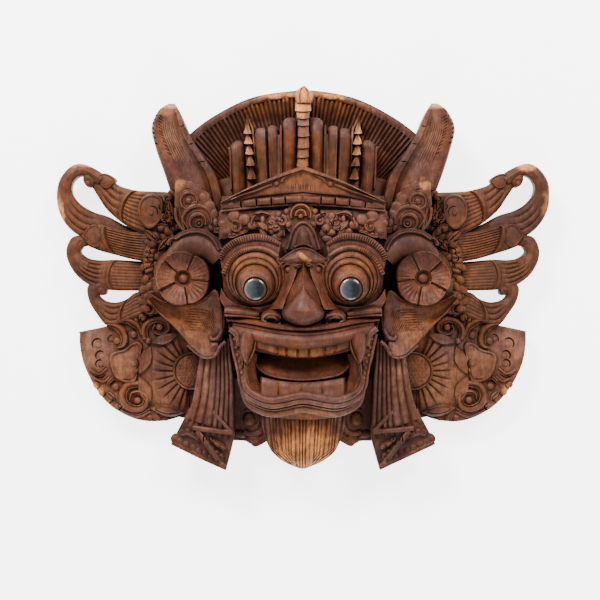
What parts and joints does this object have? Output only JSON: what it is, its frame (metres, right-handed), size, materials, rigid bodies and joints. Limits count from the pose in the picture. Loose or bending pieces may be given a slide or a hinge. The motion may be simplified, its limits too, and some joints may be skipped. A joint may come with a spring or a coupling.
{
  "type": "carved wooden barong wall mask",
  "caption": "Carved wooden guardian wall mask with open fanged mouth, inlaid eyes, gabled crown with fluted fan, ears with flowers, plumes and wings; hollow at the back.",
  "frame": {"origin": "middle of the mask's box, on the plane that its back lies on", "axes": "+X towards the viewer's right of the face, +Y towards the top of the crown, +Z the way the face looks; the mask lies on its back"},
  "size_m": [0.45, 0.347, 0.1291],
  "materials": {
    "carved_wood": "waxed, worn lighter on the ridges",
    "eye_shell": "polished inlay"
  },
  "bodies": {
    "root": {"mask": "carved_wood", "eye_inlay_left": "eye_shell", "eye_inlay_right": "eye_shell"}
  },
  "joints": []
}
